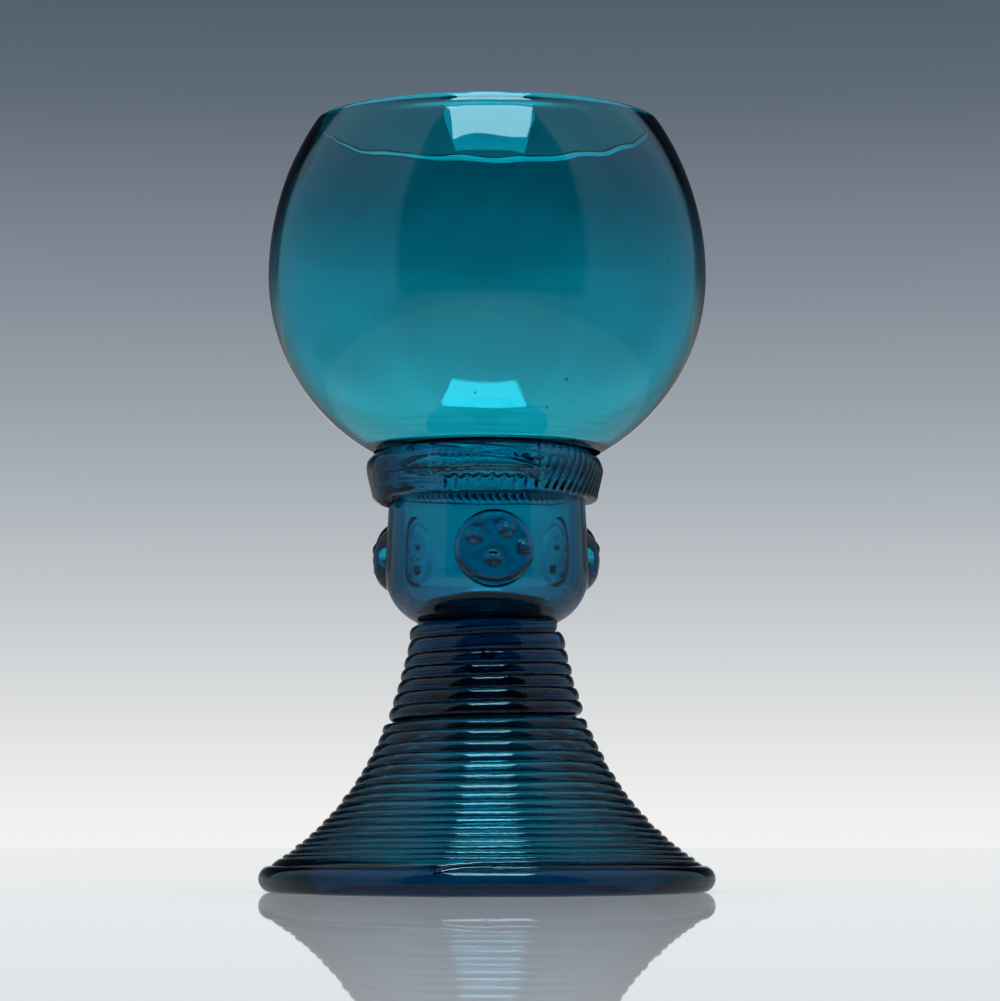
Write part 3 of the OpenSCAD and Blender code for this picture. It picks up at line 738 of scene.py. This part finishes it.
def makeCone():
    # closed top, outer slant, lower lip and inner slant, swung round the axis
    f = foot
    down = np.linspace(0, slant, f["rows"])
    outer = np.stack(coreAt(down, np.zeros_like(down)), -1)
    outer[0, 1] = f["top"]
    outer[-1, 1] = f["lip"]
    lip = line(outer[-1], f["hollow"][0], 7)[1:-1]
    inner = bend(*f["hollow"], f["hollowRows"])
    height = inner[:, 1]
    inner[:, 0] += sum(size * np.exp(-((height - level) / width) ** 2) for size, level, width in f["hollowChanges"])
    crown = line((0, f["top"]), (f["topRadius"], f["top"]), 8)[1:-1]
    profile = np.concatenate([crown, outer, lip, inner[:-1]])
    crownStop, outerStop, lipStop = np.cumsum([len(crown), len(outer), len(lip)])
    degrees = np.linspace(0, 360, f["columns"], endpoint=False)[None, :]
    cover = np.maximum(*(threadCover(down[:, None], degrees, thread) for thread in (upperThread, lowerThread)))
    atJoint = (down > slant - f["edgeJoint"]) | (down < f["topJoint"])
    values = np.zeros((len(profile), f["columns"]))
    values[:crownStop] = 1
    values[crownStop:outerStop] = np.where(atJoint[:, None], 1, jointEdge + cover)
    values[outerStop:lipStop] = profile[outerStop:lipStop, :1] > f["lipJoint"]
    rings = turned(profile, np.radians(degrees[0]))
    tips = [[0, 0, f["top"]], [0, 0, f["hollow"][-1][1]]]
    makeCapped("foot_core", "foot_cone", glass["footGlass"], rings, tips, values, [1, 0])


def makeThread(w, name, node, material):
    # rounded band wound down the slant, its sides melted into the turns above and below
    t = np.linspace(0, w["turns"], int(w["turns"] * threadGrid["perTurn"]))
    sweep = np.linspace(0, np.pi, threadGrid["across"])
    x = -np.cos(sweep)[None, :]
    half, edge, crest = threadShape(t[:, None], x, w)
    offset = x * half
    out = edge + (crest - edge) * np.sin(sweep)[None, :] ** 0.9
    down = threadDown(t, w)[:, None]
    base = -threadGrid["sink"] + 0 * down
    offset = np.concatenate([offset[:, :1], offset, offset[:, -1:]], 1)
    radius, height = coreAt(down + offset, np.concatenate([base, out, base], 1))
    rings = around(radius, height, np.radians(w["turn"]) - fullTurn * t[:, None])
    values = np.zeros(radius.shape)
    values[:, [0, -1]] = 1
    values[:, [1, -2]] = jointEdge
    values = joined(values, rimDepth(radius, height))
    tips = [rings[0].mean(0), rings[-1].mean(0)]
    makeCapped(name, node, material, rings, tips, values, [0, 0])


def makeRim():
    # flat below, rounded outside and inside, hollowed where the core is melted into it
    m = rim
    flat = line((m["innerX"], 0), (m["outerX"], 0), 10)
    outside = arc(m["outerX"], m["outerRound"], m["outerRound"], -90, m["shoulder"], 60)[1:]
    seatEdge = (m["seatRadius"], m["seat"])
    fit = line(outside[-1], seatEdge, 6)[1:]
    seat = line(seatEdge, (m["innerX"], m["seat"]), 8)[1:]
    inside = arc(m["innerX"], m["innerRound"], m["innerRound"], 90, 270, 30)[1:-1]
    profile = np.concatenate([flat, outside, fit, seat, inside])
    joinStart = len(flat) + len(outside) - m["joinRows"]
    joinStop = len(flat) + len(outside) + len(fit) + len(seat) - 1
    fused = np.zeros(len(profile))
    fused[joinStart:joinStop] = 1
    fused[[joinStart, joinStop]] = jointEdge

    def shape(radius, height, angle):
        # ring not quite round
        return radius + (waves(angle, height, m["waves"]) - m["inward"]) * step(radius, *m["wavesFrom"]), height

    points, faces = swungBody(profile, m["columns"], shape)
    x, y, z = points.T
    values = joined(np.repeat(fused, m["columns"]), threadDepth(np.hypot(x, y), z, np.arctan2(x, -y), lowerThread))
    makePiece("foot_rim_ring", "foot_rim", glass["rimGlass"], points, faces, values)


makeCone()
makeThread(upperThread, "upper_wound_thread", "upper_trail", glass["upperThreadGlass"])
makeThread(lowerThread, "lower_wound_thread", "lower_trail", glass["threadGlass"])
makeRim()
print("glass pieces made")

# table: round pale glossy sheet
table = {
    "ringRadii": (0.05, 0.2, 0.45, 0.75), "columns": 160, "level": -0.00008,
    "colour": (0.945, 0.98, 1.0, 1), "bend": 1.45, "shine": 0.91, "roughness": 0.014,
    # the glass mirrors only the near part of the table, and in its reflections the dim room colour below shows in the
    # table's place, a painted shade for a table lit less away from the glass: where that fades, its stretch, least
    # fade
    "mirrorReach": (0.27, 0.34), "mirrorShape": (1.6, 1.0, 1.0), "mirrorFade": 0.75,
}


def makeTable():
    # flat disc: rings of even angles from the middle out
    t = table
    count, rows = t["columns"], len(t["ringRadii"])
    rings = around(np.array(t["ringRadii"])[:, None], t["level"], ringTurns(count)[None, :]).reshape(-1, 3)
    points = np.concatenate([rings, [[0, 0, t["level"]]]])
    faces = [gridFaces(rows, count, False, True), fanFaces(0, count, rows * count)]
    mesh = bpy.data.meshes.new("table")
    mesh.from_pydata(points.tolist(), [], [face for group in faces for face in group.tolist()])
    mesh.update()
    if mesh.polygons[0].normal.z < 0:
        mesh.flip_normals()
    material = bpy.data.materials.new("paleTable")
    add, math = nodeMaker(material)
    matt = add("ShaderNodeBsdfDiffuse", {"Color": t["colour"]}).outputs["BSDF"]
    gloss = add("ShaderNodeBsdfGlossy", {"Color": (1, 1, 1, 1), "Roughness": t["roughness"]}).outputs["BSDF"]
    slope = add("ShaderNodeFresnel", {"IOR": t["bend"]}).outputs["Fac"]
    sheen = add("ShaderNodeMixShader", {"Fac": math("MULTIPLY", slope, t["shine"]), 1: matt, 2: gloss})
    place = add("ShaderNodeTexCoord").outputs["Object"]
    stretched = add("ShaderNodeVectorMath", {0: place, 1: t["mirrorShape"]}, operation="MULTIPLY")
    away = add("ShaderNodeVectorMath", {0: stretched.outputs["Vector"]}, operation="LENGTH").outputs["Value"]
    near, far = t["mirrorReach"]
    reach = {"Value": away, "From Min": near, "From Max": far, "To Min": t["mirrorFade"]}
    fade = add("ShaderNodeMapRange", reach, interpolation_type="SMOOTHSTEP").outputs["Result"]
    # rays reflected by the glass find the table clear and see the dim room below: painted shade on the mirrored table
    mirrored = math("GREATER_THAN", add("ShaderNodeLightPath").outputs["Glossy Depth"], 0.5)
    clear = add("ShaderNodeBsdfTransparent").outputs["BSDF"]
    hidden = math("MULTIPLY", fade, mirrored)
    whole = add("ShaderNodeMixShader", {"Fac": hidden, 1: sheen.outputs["Shader"], 2: clear})
    add("ShaderNodeOutputMaterial", {"Surface": whole.outputs["Shader"]})
    mesh.materials.append(material)
    sheet = bpy.data.objects.new("table", mesh)
    scene.collection.objects.link(sheet)


makeTable()
print("table laid")

# studio: backdrop that darkens upwards, and a dimmer room that only reflections see
studio = {
    # elevation in degrees and colour
    "backdrop": [(-2.0, (0.90, 0.90, 0.885)), (-0.4, (0.888, 0.888, 0.872)), (0.2, (0.86, 0.86, 0.845)),
                 (3.4, (0.55, 0.58, 0.604)), (5.0, (0.420, 0.459, 0.494)), (6.7, (0.307, 0.354, 0.396)),
                 (8.4, (0.230, 0.271, 0.316)), (11.5, (0.118, 0.147, 0.188)), (13.2, (0.085, 0.113, 0.148)),
                 (20.0, (0.04, 0.05, 0.07)), (40.0, (0.02, 0.026, 0.036))],
    "side": (0.19, 0.32, 0.41), "sideHigh": (0.40, 0.44, 0.47), "sideRise": (15.0, 50.0),
    # below: the dim colour that reflections find under the horizon where the table turns clear for them, painted
    # shade of the table
    "front": (0.006, 0.008, 0.01), "below": (0.2, 0.21, 0.22), "belowRise": (-19.0, -15.0), "belowBack": (-1.2, 0.4),
    "scattered": (0.95, 0.9595, 1.007),
    # dark flags beside the lit part of the backdrop: dimming below and above, and where it comes in
    "flag": (1.0, 0.28), "flagRise": (6.0, 8.6), "mirrorFlagRise": (-2.0, 0.5), "besideRise": (-1.0, 1.0),
    # edges in degrees from the front, each with a start and an end of its blend
    "panel": (47.0, 53.0), "flagFront": (138.0, 144.0), "litEdge": (9.2, 10.4), "turnShift": 2.5,
    # light through the glass, or off the table, finds some of the backdrop brighter: elevation, gain
    "lift": [(-2.0, 1.0), (0.5, 1.0), (4.3, 1.0), (5.3, 1.4), (6.2, 1.5), (7.0, 1.42),
             (8.0, 1.22), (9.2, 1.0), (14.0, 1.0)],
    "mirrorLift": [(-2.0, 1.0), (0.5, 1.0), (1.5, 1.07), (3.0, 1.14), (5.0, 1.08), (9.0, 1.0)],
    "strip": {"size": (0.65, 0.45), "place": (0.02, -0.4375, 1.122), "radiance": 8.2, "colour": (0.58, 1.0, 1.1)},
}


def makeStudio():
    # surroundings by elevation and turn, one set each for the camera, for light through glass, mirrored and scattered
    s = studio
    scene.world = bpy.data.worlds.new("studio")
    add, math = nodeMaker(scene.world)

    def blend(share, first, second):
        # first colour where the share is 0, second where it is 1
        first, second = ((*colour, 1) if isinstance(colour, tuple) else colour for colour in (first, second))
        return add("ShaderNodeMix", {"Factor": share, "A": first, "B": second}, data_type="RGBA").outputs["Result"]

    def scaled(colour, factor):
        # colour times a factor
        return add("ShaderNodeVectorMath", {"Vector": colour, "Scale": factor}, operation="SCALE").outputs["Vector"]

    def edge(value, limits, ends=(0.0, 1.0)):
        # smooth change from one end to the other between two angles in degrees
        low, high = np.radians(limits)
        sockets = {"Value": value, "From Min": low, "From Max": high, "To Min": ends[0], "To Max": ends[1]}
        return add("ShaderNodeMapRange", sockets, interpolation_type="SMOOTHSTEP").outputs["Result"]

    split = add("ShaderNodeSeparateXYZ", {"Vector": add("ShaderNodeTexCoord").outputs["Generated"]})
    rise = math("ARCSINE", split.outputs["Z"])

    def steps(rows):
        # colours between stops of elevation
        low, high = rows[0][0], rows[-1][0]
        span = add("ShaderNodeMapRange", {"Value": rise, "From Min": np.radians(low), "From Max": np.radians(high)})
        ramp = add("ShaderNodeValToRGB", {"Fac": span.outputs["Result"]})
        stops = ramp.color_ramp.elements
        while len(stops) < len(rows):
            stops.new(0.5)
        for stop, (elevation, colour) in zip(stops, rows):
            stop.position = (elevation - low) / (high - low)
            stop.color = (*colour, 1)
        return ramp.outputs["Color"]

    def gains(rows):
        # factors between stops of elevation, halved in the ramp to stay within its 0 to 1
        return math("MULTIPLY", steps([(elevation, (level / 2,) * 3) for elevation, level in rows]), 2.0)

    backdrop = steps(s["backdrop"])
    # turn away from the front: 0 looks to the front (-Y), 180 to the backdrop
    bearing = math("ARCTAN2", split.outputs["X"], math("MULTIPLY", split.outputs["Y"], -1.0))
    turn = math("ABSOLUTE", bearing)
    shifted = math("ABSOLUTE", math("SUBTRACT", bearing, np.radians(s["turnShift"])))
    lit = math("SUBTRACT", 1.0, edge(math("SUBTRACT", np.pi, turn), s["litEdge"]))

    def flags(limits):
        # backdrop dimmed beside its lit part, less so near the table
        dimming = math("MULTIPLY", math("SUBTRACT", 1.0, lit), edge(rise, limits, s["flag"]))
        return scaled(backdrop, math("ADD", lit, dimming))

    mirroredBack = scaled(flags(s["mirrorFlagRise"]), gains(s["mirrorLift"]))
    liftedBack = scaled(flags(s["flagRise"]), gains(s["lift"]))
    atBack = edge(turn, s["flagFront"])
    through = blend(math("MULTIPLY", atBack, edge(rise, s["besideRise"])), backdrop, liftedBack)
    sides = blend(edge(rise, s["sideRise"]), s["side"], s["sideHigh"])
    room = blend(edge(shifted, s["panel"]), s["front"], sides)
    # under the horizon reflections see the dim below colour, painted shade of the mirrored table
    room = blend(edge(rise, s["belowRise"]), s["below"], room)
    room = blend(atBack, room, blend(edge(rise, s["belowBack"]), s["below"], mirroredBack))
    path = add("ShaderNodeLightPath")
    isMirrored = math("GREATER_THAN", path.outputs["Glossy Depth"], 0.5)
    isScattered = math("GREATER_THAN", path.outputs["Diffuse Depth"], 0.5)
    shown = blend(isMirrored, blend(path.outputs["Is Camera Ray"], through, backdrop), room)
    light = add("ShaderNodeBackground", {"Color": blend(isScattered, shown, s["scattered"])})
    add("ShaderNodeOutputWorld", {"Surface": light.outputs["Background"]})

    # overhead strip, seen only as highlights on the glass
    strip = s["strip"]
    lamp = bpy.data.lights.new("overheadStrip", "AREA")
    lamp.shape = "RECTANGLE"
    lamp.size, lamp.size_y = strip["size"]
    lamp.energy = strip["radiance"] * np.pi * strip["size"][0] * strip["size"][1]
    lamp.color = strip["colour"]
    holder = bpy.data.objects.new("overheadStrip", lamp)
    holder.location = strip["place"]
    holder.visible_camera = False
    holder.visible_diffuse = False
    scene.collection.objects.link(holder)


makeStudio()
print("studio lit")
